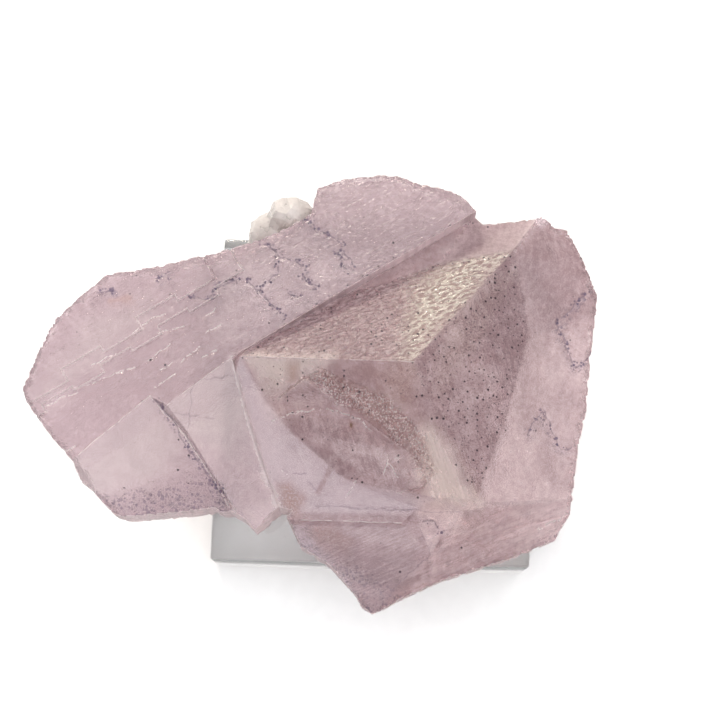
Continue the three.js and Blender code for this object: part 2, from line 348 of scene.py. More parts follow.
# %% Chip the rim and roughen the underside
RIM_CHIP_DEPTH = 1.1 * MM
RIM_CHIP_SIZE = 1.1 * MM
UNDERSIDE_DEPTH = 0.5 * MM
UNDERSIDE_SIZE = 2.6 * MM
INNER_WALL_REACH = 2.5
INNER_FLAT_FADE = 1.5
NEAR_FACE_SPARED = 0.4
LEFT_CRYSTAL_SPARED = 0.5
LEFT_CRYSTAL_FADE = 4
INNER_WALLS = [
    SEAM,
    [CROOK, (-19.4, -5.5), (-17.3, -11.9), SEAM_FOOT],
    [(-43.5, -13.4), STEP_CORNER, HIGH_STEP_CORNER, CROOK],
    [STEP_CORNER, (-28.3, -9.5), (-23.8, -15.8), (-20.5, -21.5)],
]
LEFT_CRYSTAL = [(-60, 40), (16, 40), SEAM_END, CROOK, SEAM_FOOT, (-16, -40), (-60, -40)]
INNER_FLAT = [(-50, -5), (-45, 7), (-38, 11), (-23, 14.5), (-22, 4), (-34, -3)]


def touching(piece, wanted):
    """Weight 1 for each point of a face whose upward slope is wanted."""
    faces = piece.data.polygons
    corners = np.empty(len(faces) * 3, np.int32)
    normals = np.empty(len(faces) * 3, np.float32)
    faces.foreach_get("vertices", corners)
    faces.foreach_get("normal", normals)
    weights = np.zeros(len(piece.data.vertices))
    weights[corners.reshape(-1, 3)[wanted(normals.reshape(-1, 3)[:, 2])].ravel()] = 1
    return weights


sides = touching(stone, lambda slope: abs(slope) < TOP_FACING)
under = touching(stone, lambda slope: slope <= -TOP_FACING)
unchipped = np.max([along(plan, path, INNER_WALL_REACH) for path in INNER_WALLS], axis=0)
unchipped = np.maximum(unchipped, inside(plan, INNER_FLAT, INNER_FLAT_FADE))
unchipped = np.maximum(unchipped, NEAR_FACE_SPARED * inside(plan, NEAR_FACE, 1))
left_crystal = inside(plan, LEFT_CRYSTAL, LEFT_CRYSTAL_FADE)
chipped = sides * (1 - unchipped) * (1 - LEFT_CRYSTAL_SPARED * left_crystal)
bite(stone, "rim_chips", chipped, RIM_CHIP_DEPTH, RIM_CHIP_SIZE, bitten=0.25, spared=0.55)
bite(stone, "underside_pits", under, UNDERSIDE_DEPTH, UNDERSIDE_SIZE)
print("chipped points:", int(sides.sum()), "underside points:", int(under.sum()))

# %% [markdown]
# ## Rippled and scarred faces
# The far face dissolved a little after it grew, and is left with long, low ripples that glitter. The
# flake scar on the near face broke in small shell-like waves. Both are real relief: a cloud texture
# stretched along the grain of the face.

# %% Ripple the far face and the scar
RIPPLE_TURN = math.radians(22)
RIPPLE_STRETCH = 3.2
RIPPLE_DEPTH = 0.3 * MM
RIPPLE_SIZE = 0.5 * MM
SCAR_TURN = math.radians(70)
SCAR_STRETCH = 2
SCAR_DEPTH = 0.9 * MM
SCAR_SIZE = 0.6 * MM

bite(stone, "far_ripples", far_face * (1 - sides), RIPPLE_DEPTH, RIPPLE_SIZE, (RIPPLE_TURN, RIPPLE_STRETCH))
bite(stone, "scar_waves", scar_riser * (1 - sides), SCAR_DEPTH, SCAR_SIZE, (SCAR_TURN, SCAR_STRETCH))
print("rippled points:", int(far_face.sum()), "scarred points:", int(scar_riser.sum()))

# %% [markdown]
# ## Etched steps and cracks
# Fluorite etches in straight steps along two directions at right angles. Their edges are short white
# dashes. Fine hairlines and wider, stained cracks cross the stone as well. Each is a path of a few
# points.

# %% Paths of the steps, hairlines and cracks
STEP_DASHES = [
    [(-48.8, -5.8), (-44.2, -3.2), (-41.7, -1.9), (-38.8, -0.7), (-35.9, 0.5)],
    [(-34.2, 1.3), (-31, 4.1)],
    [(-32.5, -0.6), (-30.4, 1.2)],
    [(-32.9, -2.9), (-29.9, -0.6)],
    [(-29.2, 1.3), (-26.6, 3.6)],
    [(-26.2, 1.8), (-24, 3.1)],
    [(-32.7, 5.8), (-29.1, 7)],
    [(-25.8, 8.8), (-24.4, 9.9)],
    [(-25.6, 5.8), (-23.3, 7.3)],
    [(-42.7, 0.5), (-39.2, 2.4)],
    [(-37.8, 4.8), (-36.4, 5.8), (-34.4, 7.9), (-31.8, 8.9)],
    [(-3.9, -17.6), (-2.4, -15.1)],
    [(-46.5, -13), (-44, -12.2)],
    [(-15.6, -6.7), (-12.2, -5.8), (-8.1, -5.2), (-5.1, -5.6), (-2, -6.9), (-0.1, -8.4)],
    [(6.7, -10.6), (7.8, -12.7), (8.2, -15.9)],
    [(2.6, -13), (4, -14.9)],
    [(-13.7, -14), (-12.9, -14.3)],
    [(25.2, -21.6), (28, -20.4), (30.5, -19)],
    [(1.6, -11.4), (2.6, -12.2), (3.9, -12)],
    [(2.4, -12.4), (1.6, -14.2)],
]
HAIRLINES = [
    [(-26.4, -1.6), (-21.1, -0.7)],
    [(-29.9, -6.8), (-23.9, -7)],
    [(-27, -1.9), (-27.9, -10.2)],
    [(7.3, -22), (9.2, -26)],
    [(20.2, -18.9), (21.2, -17.6), (21.8, -17.8)],
    [(18.3, -22), (19.6, -21.3), (20.3, -20.4), (20.4, -19.7)],
    [(-12.2, -14.4), (-10.1, -14.4)],
    [(-9.6, -15.6), (-8.5, -17)],
    [(-8.7, -19.1), (0.9, -19.3), (13.4, -19.9)],
    [(9.3, -25.8), (4.7, -29.7), (2.7, -32.6)],
]
STAINED_CRACKS = [
    [(-42.9, 12.3), (-40.8, 12.5)],
    [(-34.1, 14.6), (-31, 15.1)],
    [(-28.6, 11.5), (-25.7, 11.5), (-24.3, 13.2), (-20.9, 14.7)],
    [(-17.7, 20.5), (-15.6, 19.5), (-15.1, 17.5), (-15.5, 15.5), (-16.8, 13.9), (-18.2, 12.5)],
    [(-15.1, 18.3), (-12.9, 17.7), (-10.5, 16.7)],
    [(-19.9, 14.7), (-17.9, 12.4), (-16, 10.7), (-13.6, 8.3)],
    [(-13.5, 12.4), (-11.9, 11.9)],
    [(-11.5, 24.7), (-9, 22.8), (-6, 21), (-5.2, 20.3)],
    [(-6.4, 19.2), (-4.5, 16)],
    [(-5.3, 19.5), (-3.6, 16.7)],
    [(-11.6, 15.2), (-8.9, 13.2)],
    [(-32.7, -4.7), (-31, -6.3), (-28, -11.1), (-25.1, -14.8), (-21.8, -18.4)],
    [(28, 9.9), (29, 7.4), (30, 4.6), (31, 3), (33.5, 5.5)],
    [(29.3, 11.5), (32.7, 14.8)],
    [(23.5, -7.9), (24.1, -6), (25.9, -3.6), (27.1, -6.9), (28.7, -9.7), (30.5, -9.2)],
    [(7.8, -21.3), (9.3, -21), (10.2, -22.5), (11.3, -22.3)],
]
print(len(STEP_DASHES), "dashes,", len(HAIRLINES), "hairlines,", len(STAINED_CRACKS), "cracks")

# %% [markdown]
# ## Grooves under the lines
# A shallow groove under each dash and crack lets the light catch it. A real crack is never straight, so a
# smooth noise, seeded to be the same on every run, pushes the points aside, and the paths come out
# crooked.

# %% Grooves for steps and cracks
GROOVE_DEPTH = 0.16 * MM
GROOVE_WIDTH = 0.5
GROOVE_SIZE = 0.5 * MM
CROOK_SIZE = 1.3
CRACK_CROOK = 0.4
WANDER_SEED = 157


def wander(points, size, reach):
    """Points pushed aside by a smooth noise, so that a straight fence or path comes out ragged."""
    pushes = [noise.noise_vector((x / size, y / size, 0)) for x, y in points]
    return points + reach * np.array(pushes)[:, :2]


noise.seed_set(WANDER_SEED)
crooked = wander(plan, CROOK_SIZE, CRACK_CROOK)
dash_way = way_from(crooked, STEP_DASHES)
crack_way = way_from(crooked, STAINED_CRACKS)
hair_way = way_from(crooked, HAIRLINES)
grooves = eased(1 - np.minimum(gap_to(dash_way), gap_to(crack_way)) / GROOVE_WIDTH)
bite(stone, "grooves", grooves * (1 - under), GROOVE_DEPTH, GROOVE_SIZE)
print("grooved points:", int((grooves > 0.1).sum()))

# %% [markdown]
# ## Patches of skin
# Seen from above, the stone runs from a clear mauve to a frosted pale pink. Rims are grainy, hollows are
# brown, and one ridge has a cream strip. These fences name the patches that several effects share.

# %% Fences of the patches
LOW_STEP_MARGIN = [(-47, -19), (-36, -18.5), (-24, -15), (-19, -22), (-30, -26), (-47, -26)]
PALE_CORNER = [LEFT_FOOT, (-7, 1.6), (-11, -1.2), (-16.5, -3)]
RIDGE_STRIP = [(6.7, -9), (9, -8.5), NEAR_FOOT, (8.7, -18), (7.8, -13.9)]
LEFT_MARGIN = [LEFT_FOOT, (-16.3, -4.1), (-12.6, -8.3), (-4.1, -15.1), (8.8, -18), (6, -20), (-12, -20),
               SEAM_FOOT, (-17.3, -11.9), CROOK]
NEAR_TERRACE = [(-12, -21.4), (7, -21.8), (9.2, -26), (4.7, -29.7), (2.7, -32.6), (0, -40), (-14, -28)]
NEAR_BEVEL = [(9.2, -26), (14, -20), (36, -17), (36, -28), (0, -40), (2.7, -32.6), (4.7, -29.7)]
LILAC_RIM = [(-11.9, -22.2), (-9.5, -21.8), (-8.3, -24.6), (-4.7, -28.3), (-1.8, -31.7), (-4, -33),
             (-14, -26)]
BEVEL_RIM = [(10, -29.2), (24, -24.3), (30.7, -19.1), (34, -20), (29, -26), (10.4, -33)]
BROWN_PATCH = [(-14.3, -15.9), (-12.8, -15.5), (-9.9, -17.9), (-11.2, -20), (-13.7, -19)]
TERRACE_PATCH = [(-9.9, -21.9), (-5.9, -21.5), (-2.7, -24.2), (-3.4, -25.3), (-8.3, -24)]
CLEAR_STRIPE = [(-6.6, -13), (-5.9, -13.3), (-7.9, -17.6), (-8.7, -17.3)]
RAGGED_TIP = [(-9, -26.5), (-2, -27.5), (2, -30.5), (6, -32), (3, -40), (-10, -34)]
FAR_BAND_END = [(10, 18.3), SEAM_END, (17, 30), (25, 27), FAR_FOOT]
MILKY_NUB = [(23.8, 25.8), (25.1, 28), (27, 26.5), (25.1, 24.6)]
GLITTERING_END = [(3.5, 0.5), APEX, FAR_FOOT, (9.6, 18), (5, 12)]
print("corners of the terrace:", len(NEAR_TERRACE))

# %% [markdown]
# ## Haze
# The haze is 0 where one looks deep into the clear stone, and 1 where it is frosted. The patches are laid
# on one after another, as glazes are. A patch with a soft edge is also ragged, and a cloudy value over
# all of it stands for veils inside the stone. Two patches are painted highlights rather than frost: the
# glittering end of the far face and the bright corner of the bevel.

# %% Paint the haze
SHARP_FADE = 1
FACE_VEILS = (0.5, 2.5)
WIDE_VEILS = (0.3, 5)
FINE_VEILS = (0.2, 1.5)
# Each row: what the patch is, its fence, its haze, and how far its edge fades in millimetres.
HAZE_PATCHES = [
    ("flat crystal", FLAT_TOP, 0.07, 1),
    ("strip along the dashes", [(-48, -12), (-34, -3), (-26, 1), (-22, 4), (-27, 9), (-50, -6)], 0.02, 3),
    ("middle of the flat crystal", [(-24, 3), (-10, 10), (0, 18), (-14, 22), (-24, 18)], 0.42, 5),
    ("far end of the flat crystal", [(-10, 20), (0, 17), (16, 27), (10, 34), (-12, 34)], 0.05, 5),
    ("low step", LOW_STEP, 0.22, 0.6),
    ("low step margin", LOW_STEP_MARGIN, 0, 4),
    ("high step", HIGH_STEP, 0.5, 0.6),
    ("pale foot of the high step",
     [(-20.4, -20.6), (-14.9, -17.9), (-13.9, -19.7), (-17.5, -23.5)], 0.95, 2),
    ("far band",
     [CROOK, SEAM_END, (17, 30), (25, 27), FAR_FOOT, (9.6, 18.3), (1.2, 14.9), (-7.1, 12.2), LEFT_FOOT],
     0.36, 0.6),
    ("end of the far band", FAR_BAND_END, 0.2, 2),
    ("right margin",
     [(25, 27), (40, 20), (40, -22), (15, -23), NEAR_FOOT, (20, -5.4), (23.4, 7.3), (22.6, 13.3), FAR_FOOT],
     0.45, 1),
    ("upper right margin", [(25, 27), (40, 20), (40, 10), (24, 10), FAR_FOOT], 0.1, 6),
    ("milky nub of the rim", MILKY_NUB, 1, 1),
    ("foot of the right margin", [(21, -4), (25, -8), (27, -18), (16, -20)], 0.7, 3),
    ("near terrace", [(-14, -20), (16, -20), (30, -21), (30, -30), (0, -40), (-12, -27)], 0.1, 1),
    ("pale middle of the terrace",
     [(-4.1, -21.2), (6.6, -20.9), (8.1, -24.6), (4.2, -26.9), (-2.1, -24.8)], 0.32, 3),
    ("near bevel", NEAR_BEVEL, 0.45, 1),
    ("window of the terrace",
     [(6.6, -19.6), (13.7, -19.7), (12.5, -24.2), (11, -25.1), (10.8, -22.7), (7.3, -22)], 0.7, 0.6),
    ("wedge of the terrace", [(7.3, -22), (10.8, -22.7), (9.2, -26)], 0.85, 0.5),
    ("lilac rim", LILAC_RIM, 0.25, 2),
    ("dark rim of the bevel", BEVEL_RIM, 0.2, 2),
    # Painted highlight: the corner of the bevel is lightened where a highlight falls.
    ("bright corner of the bevel", [(22, -19), (36, -15), (34, -22), (24, -24)], 0.8, 4),
    ("tip", [(-3, -30), (6, -30), (6, -40), (-3, -40)], -0.2, 4),
    ("far face", FAR_FACE, 0.1, 0.6),
    # Painted highlight: the glittering end of the far face is lightened, standing for the skimming lamp's
    # highlight.
    ("glittering end of the far face", GLITTERING_END, 0.25, 5),
    ("right face", RIGHT_FACE, 0.34, 0.8),
    ("dark part of the right face",
     [(15, 8.8), (18.6, 9.2), (22.6, 8.1), (22, 4.1), (18.8, 4), (15.7, 5.5)], 0.15, 3),
    ("light part of the right face", [(11.9, 1.6), (19.1, 2.4), (19.2, -5.9), (12, -6.1)], 0.46, 4),
    ("top of the right face", [FAR_FOOT, (14, 10), (19, 4), (23, 6)], 0.08, 4),
    ("near face", NEAR_FACE, 0.26, 0.8),
    ("milky patch", [(0.8, -10.8), (4.1, -12), (2.2, -14.4), (0.9, -13.1)], 0.6, 2),
    ("scar riser", SCAR_RISER, 0.1, 1),
    ("pale corner", PALE_CORNER, 1.25, 3),
    ("ridge strip", RIDGE_STRIP, 1.1, 2.5),
    ("left margin", LEFT_MARGIN, 0.72, 0.8),
    ("bright side of the left margin",
     [CROOK, (-19.5, -1.5), (-16.1, -4.8), (-12.1, -14.3), (-13.7, -14.6), (-17.1, -10.8)], 0.85, 3),
    ("rough brown patch", BROWN_PATCH, 0, 1.5),
    ("brown patch of the terrace", TERRACE_PATCH, 0, 2),
    ("clear stripe", CLEAR_STRIPE, 0.2, 0.4),
]


def veils(strength, size):
    """A cloudy value around 0 at each point of the stone."""
    values = [noise.fractal((x / size, y / size, 0), 1, 2, 4) for x, y in plan]
    return strength * (np.clip(0.5 + 0.6 * np.array(values), 0, 1) - 0.5)


ragged = wander(wander(plan, 6, 1.4), 1.6, 0.5)
haze = np.full(len(plan), 0.5)
for patch, fence, value, fade in HAZE_PATCHES:
    share = inside(plan if fade <= SHARP_FADE else ragged, fence, fade)
    haze += (value - haze) * share
    print(f"{patch}: haze {value} on {share.sum():.0f} points")
haze += (right_face + near_face) * veils(*FACE_VEILS)
haze += veils(*WIDE_VEILS) + veils(*FINE_VEILS)
print("mean haze", round(float(haze.mean()), 2))

# %% [markdown]
# ## Warmth
# A second attribute carries the warmth around a neutral half: lilac on the near margins, cream along the
# ridge towards the viewer and on the pale corner, and a cooler pink on the flat crystal.

# %% Paint the warmth
NEUTRAL = 0.5
COOL_WARMTH = 0.25
COOL_FADE = 1
CREAM_FADE = 4
LILAC_FADE = 1.5
STRIPE_FADE = 0.4
COOL_PATCHES = [FLAT_TOP, LOW_STEP, HIGH_STEP]
CREAM_PATCHES = [RIDGE_STRIP, PALE_CORNER]
LILAC_PATCHES = [(LEFT_MARGIN, 0.1), (NEAR_TERRACE, 0.35), (LILAC_RIM, 0.1), (MILKY_NUB, 0.1)]

warmth = np.full(len(plan), NEUTRAL)
for fence in COOL_PATCHES:
    warmth += (COOL_WARMTH - warmth) * inside(plan, fence, COOL_FADE)
for fence in CREAM_PATCHES:
    warmth += (1 - warmth) * inside(ragged, fence, CREAM_FADE)
for fence, value in LILAC_PATCHES:
    warmth += (value - warmth) * inside(plan, fence, LILAC_FADE)
warmth += (NEUTRAL - warmth) * inside(plan, CLEAR_STRIPE, STRIPE_FADE)
print("mean warmth", round(float(warmth.mean()), 2))

# %% [markdown]
# ## Rust
# Iron in the ground has left brown marks in hollows and scratches. A value up to one tints the stone, and
# a value of two is a solid brown speck.

# %% Paint the rust
# Each row: what the mark is, its fence, how strong it is, and how far its edge fades in millimetres.
RUST_MARKS = [
    ("streak on the flat crystal", [(-41, 10.4), (-37.5, 11), (-37.6, 11.9), (-40.9, 11.2)], 0.8, 0.8),
    ("brown scar riser", SCAR_RISER, 0.55, 1.5),
    ("olive spot in the pale corner", [(-13.1, 1.2), (-11.4, 1.2), (-11.4, -1.4), (-13, -1.4)], 0.9, 1.4),
    ("warm upper near face", [APEX, (-8, 1.5), (1.6, -3.8), (7.5, -9.5)], 0.3, 3),
    ("brown speck", [(-3.4, -7), (-2.9, -7.2), (-2.9, -7.7), (-3.2, -7.9)], 2, 0.5),
    ("rough brown patch", BROWN_PATCH, 1, 2),
    ("brown patch of the terrace", TERRACE_PATCH, 0.5, 2),
]
rust = np.zeros(len(plan))
for mark, fence, value, fade in RUST_MARKS:
    share = inside(crooked, fence, fade)
    rust = np.maximum(rust, value * share)
    print(f"{mark}: rust {value} on {share.sum():.0f} points")

# %% [markdown]
# ## Bright edges
# A cleaved edge bruises: hundreds of tiny cracks behind it scatter the light and draw it as a white line.
# The seam where the two crystals meet shows one, and so do the ridges of the pyramid and the edges of the
# steps.

# %% Bright seam and ridges
EDGE_CROOK = 0.12
# Each row: the path of an edge, and the width of its bruise in millimetres.
BRUISED_EDGES = [
    ([CROOK, (-19.4, -5.5), (-17.3, -11.9), SEAM_FOOT], 0.55),
    ([(-16.4, -14.5), SEAM_FOOT], 1.1),
    ([LEFT_FOOT, APEX], 0.12),
    ([STEP_CORNER, (-28.3, -9.5), (-23.8, -15.8), (-20.5, -21.5)], 0.25),
    ([(-43.5, -13.4), STEP_CORNER], 0.1),
    ([HIGH_STEP_CORNER, CROOK], 0.1),
    ([(-11.4, -21.2), (4.7, -21.4)], 0.12),
]
edge_way = way_from(wander(plan, CROOK_SIZE, EDGE_CROOK), *zip(*BRUISED_EDGES))
print("points on bruised edges:", int((gap_to(edge_way) < 1).sum()))

# %% [markdown]
# ## Grains, painted glints and painted sheen
# The rims carry dark grains. The scar and the brown hollows get white flecks that are painted glints, and
# the steps of the flat crystal get a grey painted sheen that stands for the sky's reflection. Each is a
# patch again, and the strongest patch at a point counts.

# %% Paint grains, painted glints and painted sheen
GRAIN_FADE = 3
PAINTED_GLINT_FADE = 1.5
SHEEN_GREY_FADE = 5
GRAINY_PATCHES = [(LOW_STEP_MARGIN, 1), (RAGGED_TIP, 0.8), (BEVEL_RIM, 0.6), (LILAC_RIM, 0.8)]
PAINTED_GLINT_PATCHES = [(SCAR_RISER, 1), (BROWN_PATCH, 0.5), (TERRACE_PATCH, 0.4)]
# Each row: the step that gets the painted sheen, the fence of the grey painted sheen on it, and its
# strength.
PAINTED_SHEEN_PATCHES = [
    (LOW_STEP, [(-52, -12), (-41, -8), (-33, 2), (-29, -11), (-33, -17), (-44, -19)], 0.5),
    (HIGH_STEP, [(-35, -4), (-22, 8), (-18, -5), (-22, -12), (-28, -10)], 0.6),
    (FLAT_TOP, [(-52, -6), (-43, 8), (-36, 11), (-34, 8), (-44, 0)], 0.3),
]


def strongest(patches, fade):
    return np.max([weight * inside(ragged, fence, fade) for fence, weight in patches], axis=0)


grainy = strongest(GRAINY_PATCHES, GRAIN_FADE) * (1 - sides)
# Where painted glints go: the scar riser and the brown hollows.
painted_glint_weight = strongest(PAINTED_GLINT_PATCHES, PAINTED_GLINT_FADE)
# The grey painted sheen of the steps, standing for the sky's reflection.
painted_sheen = np.max([
    weight * inside(plan, step, FACE_FADE) * inside(ragged, fence, SHEEN_GREY_FADE)
    for step, fence, weight in PAINTED_SHEEN_PATCHES
], axis=0)
print("grainy, flecked and greyed points:", int(grainy.sum()), int(painted_glint_weight.sum()), int(painted_sheen.sum()))

# %% [markdown]
# ## Gloss, scratches and pepper
# The last weights say which skin is worn in which way. The glittering end of the far face is glossy and
# the band beyond it dull; the terrace and the ridge strip are scratched; and black specks pepper the
# right face.

# %% Weigh gloss, scratches and pepper
SKIN_FADE = 2
STRIP_FADE = 1.5
GLITTER_FADE = 6
SEAM_DOT_REACH = 0.9
SEAM_WALL_REACH = 3
GLITTER_GLOSS = 0.06
FAR_FACE_DULL = 0.14
BAND_END_DULL = 0.35
SEAM_DOTS = 0.7
INNER_WALL_DULL = 0.85

# The glitter zone takes painted glints in the material, besides its real gloss and ripples.
glitter = far_face * inside(wander(plan, 6, 2), GLITTERING_END, GLITTER_FADE)
terraced = np.maximum(inside(plan, NEAR_TERRACE, SKIN_FADE), inside(plan, NEAR_BEVEL, SKIN_FADE))
ridge_strip = inside(plan, RIDGE_STRIP, STRIP_FADE)
band_end = inside(plan, FAR_BAND_END, SKIN_FADE)
faced = np.maximum(ridge_strip, np.maximum(near_face, right_face))
scratched = np.maximum.reduce([0.6 * terraced, ridge_strip, 0.4 * right_face, 0.3 * near_face])
gloss = GLITTER_GLOSS * glitter - FAR_FACE_DULL * (far_face - glitter) - BAND_END_DULL * band_end
seam_dots = SEAM_DOTS * along(plan, SEAM, SEAM_DOT_REACH) * (1 - sides)
peppered = np.maximum(seam_dots, 0.4 * far_face + right_face + 0.15 * near_face * (1 - ridge_strip))
# Upright walls are whitened: partly the frost of a broken rim, partly painted light that lifts the shade on
# walls facing away from the lamps.
rim = sides * (1 - INNER_WALL_DULL * np.maximum(near_face, along(plan, SEAM, SEAM_WALL_REACH)))
print("glittering and peppered points:", int(glitter.sum()), int(peppered.sum()))

# %% [markdown]
# ## What the material reads
# A material can't run this code, so the weights are stored on the points of the mesh as named attributes.
# A plain weight is one number, and a step to a path is a vector.

# %% Store the attributes
WEIGHTS = {
    "haze": haze,
    "warmth": warmth,
    "faced": faced,
    "scratched": scratched,
    "ripple": np.maximum(far_face + 0.5 * glitter, scar_riser),
    "glitter": glitter,
    "gloss": gloss,
    "pepper": peppered,
    "etch": flat_top,
    "rim": rim,
    "rough": np.maximum(sides, under),
    "grainy": grainy,
    "painted_glint_weight": painted_glint_weight,
    "rust": rust,
    "painted_sheen": painted_sheen,
}
WAYS = {"edge_way": edge_way, "dash_way": dash_way, "crack_way": crack_way, "hair_way": hair_way}


def store(piece, name, kind, field, values):
    layer = piece.data.attributes.new(name, kind, "POINT")
    layer.data.foreach_set(field, np.asarray(values, np.float32).ravel())


for name, weights in WEIGHTS.items():
    store(stone, name, "FLOAT", "value", weights)
for name, ways in WAYS.items():
    store(stone, name, "FLOAT_VECTOR", "vector", ways)
print(len(WEIGHTS), "weights and", len(WAYS), "ways stored")

# %% [markdown]
# ## Building materials with short calls
# A material is a tree of nodes. These helpers add a node, fill its sockets with a value or a link, and
# hand back what it puts out, so that a line of code reads as a line of arithmetic. A socket knows its
# tree, so a call that starts from a socket needn't name it.

# %% Node helpers


def fill(socket, value):
    if isinstance(value, bpy.types.NodeSocket):
        socket.id_data.links.new(value, socket)
    else:
        socket.default_value = value


def node(tree, kind, settings=None, **sockets):
    made = tree.nodes.new("ShaderNode" + kind)
    for name, value in (settings or {}).items():
        setattr(made, name, value)
    for name, value in sockets.items():
        fill(made.inputs[name.replace("_", " ")], value)
    return made


def maths(operation, *values):
    made = values[0].id_data.nodes.new("ShaderNodeMath")
    made.operation = operation
    for socket, value in zip(made.inputs, values):
        fill(socket, value)
    return made.outputs["Value"]


def times(first, second):
    return maths("MULTIPLY", first, second)


def plus(first, second):
    return maths("ADD", first, second)


def larger(first, second):
    return maths("MAXIMUM", first, second)


def blend(factor, first, second):
    made = factor.id_data.nodes.new("ShaderNodeMix")
    made.data_type = "RGBA"
    for name, value in (("Factor_Float", factor), ("A_Color", first), ("B_Color", second)):
        socket = next(item for item in made.inputs if item.identifier == name)
        fill(socket, value)
    return next(item for item in made.outputs if item.identifier == "Result_Color")


def remap(value, low, high, to_low=0, to_high=1):
    made = node(value.id_data, "MapRange",
                Value=value, From_Min=low, From_Max=high, To_Min=to_low, To_Max=to_high)
    return made.outputs["Result"]


def attribute(tree, name, output="Fac"):
    return node(tree, "Attribute", {"attribute_name": name}).outputs[output]


def in_millimetres(tree):
    place = node(tree, "TexCoord").outputs["Object"]
    scaled = node(tree, "Mapping", {"vector_type": "POINT"}, Vector=place, Scale=[1 / MM] * 3)
    return scaled.outputs["Vector"]


def colour(red, green, blue):
    """A colour as read on a screen, 0 to 255, made linear."""
    return tuple(((value / 255 + 0.055) / 1.055) ** 2.4 for value in (red, green, blue)) + (1,)


def new_material(name):
    material = bpy.data.materials.new(name)
    material.use_nodes = True
    return material, material.node_tree, material.node_tree.nodes["Principled BSDF"]


# %% [markdown]
# ## Shared effects
# Two effects serve more than one material, so each is a node group: a mottle, which is a soft cloudy
# change, and specks, which are small round grains of many sizes, scattered by chance.

# %% Groups for mottle and specks
MOTTLE_RANGE = (0.3, 0.7)
SPECK_SIZES = (0.3, 1.3)
SPECK_EDGE = 0.08


def effect(name, inputs, output):
    group = bpy.data.node_groups.new(name, "ShaderNodeTree")
    group.interface.new_socket("Vector", in_out="INPUT", socket_type="NodeSocketVector")
    for title, value in inputs.items():
        socket = group.interface.new_socket(title, in_out="INPUT", socket_type="NodeSocketFloat")
        socket.default_value = value
    group.interface.new_socket(output, in_out="OUTPUT", socket_type="NodeSocketFloat")
    entry = group.nodes.new("NodeGroupInput")
    leave = group.nodes.new("NodeGroupOutput")
    return group, entry.outputs, leave.inputs[output]


def use(tree, group, **sockets):
    made = tree.nodes.new("ShaderNodeGroup")
    made.node_tree = group
    for name, value in sockets.items():
        fill(made.inputs[name], value)
    return made.outputs[0]


mottle, given, result = effect("mottle", {"Scale": 0.3, "Detail": 4}, "Value")
cloud = node(mottle, "TexNoise", {"noise_dimensions": "2D"},
             Vector=given["Vector"], Scale=given["Scale"], Detail=given["Detail"])
mottle.links.new(remap(cloud.outputs["Fac"], *MOTTLE_RANGE), result)

specks, given, result = effect("specks", {"Scale": 1, "Size": 0.2, "Share": 0.5}, "Mask")
cells = node(specks, "TexVoronoi", {"voronoi_dimensions": "2D"},
             Vector=given["Vector"], Scale=given["Scale"])
chosen = node(specks, "SeparateColor", Color=cells.outputs["Color"])
grown = times(given["Size"], remap(chosen.outputs["Green"], 0, 1, *SPECK_SIZES))
near = maths("SUBTRACT", grown, cells.outputs["Distance"])
kept = maths("LESS_THAN", chosen.outputs["Red"], given["Share"])
specks.links.new(times(remap(near, 0, SPECK_EDGE), kept), result)
print("groups:", len(bpy.data.node_groups))

# %% [markdown]
# ## Fluorite: colours
# The real stone is clear inside, with a faint pink body colour, and its skin is etched. The skin runs
# between a clear and a frosted tone, and each kind of mark on it has a colour of its own.

# %% Colours of the stone
CLEAR_MAUVE = colour(176, 149, 153)
FROSTED_PINK = colour(246, 225, 227)
CREAM = colour(252, 240, 228)
LILAC = colour(205, 196, 208)
# Painted reflection: the grey of the sky's sheen on the steps.
STEP_SHEEN_GREY = colour(222, 213, 211)
RIPPLE_TAN = colour(190, 172, 158)
# Painted highlight: the colour of the glints painted on the wave crests.
PAINTED_RIPPLE_GLINT = colour(255, 248, 232)
RUST_BROWN = colour(176, 130, 112)
SPECK_BROWN = colour(96, 70, 40)
# White of bruised edges and dashes, also used for the painted glints and the painted light on shaded walls.
WHITE_OF_MARKS_AND_PAINTED_LIGHT = colour(248, 240, 240)
STAIN_PURPLE = colour(92, 78, 106)
SPECK_BLACK = colour(46, 38, 48)

fluorite, tree, skin = new_material("fluorite")
place = in_millimetres(tree)
print("material:", fluorite.name)

# %% [markdown]
# ## Fluorite: from clear to frosted
# The painted haze sets how far the skin goes towards frosted pink. By itself it would look airbrushed, so
# four textures shift it up and down: a grain all over, a fine frost, scratches along the bevel and the
# faces, and the waves of the rippled face.

# %% Tone of the skin
SCRATCH_TURN = math.radians(24)
SCRATCH_STRETCH = (4, 0.32, 1)
STREAK_TURN = math.radians(-68)
STREAK_STRETCH = (3, 0.4, 1)
WAVE_STRETCH = (2.6, 1, 1)
GRAIN_SWING = 0.2
SCRATCH_SWING = 0.5
FROST_SWING = (0.2, 0.45)
WAVE_SWING = 0.6


def turned(turn, stretch=(1, 1, 1)):
    """The place along a grain: turned to it, and stretched along and across it."""
    made = node(tree, "Mapping", {"vector_type": "TEXTURE"},
                Vector=place, Rotation=(0, 0, turn), Scale=stretch)
    return made.outputs["Vector"]


def centred(value):
    return maths("SUBTRACT", value, 0.5)


grain = use(tree, mottle, Vector=place, Scale=1.3, Detail=2)
frost = use(tree, mottle, Vector=place, Scale=3.5, Detail=1)
waves = use(tree, mottle, Vector=turned(RIPPLE_TURN, WAVE_STRETCH), Scale=2.5, Detail=1)
bevel_grain = turned(SCRATCH_TURN, SCRATCH_STRETCH)
face_grain = turned(STREAK_TURN, STREAK_STRETCH)
scratch_place = blend(attribute(tree, "faced"), bevel_grain, face_grain)
scratches = use(tree, mottle, Vector=scratch_place, Scale=1, Detail=0)
worn = times(centred(scratches), attribute(tree, "scratched"))
wavy = attribute(tree, "ripple")
speckled = attribute(tree, "pepper")

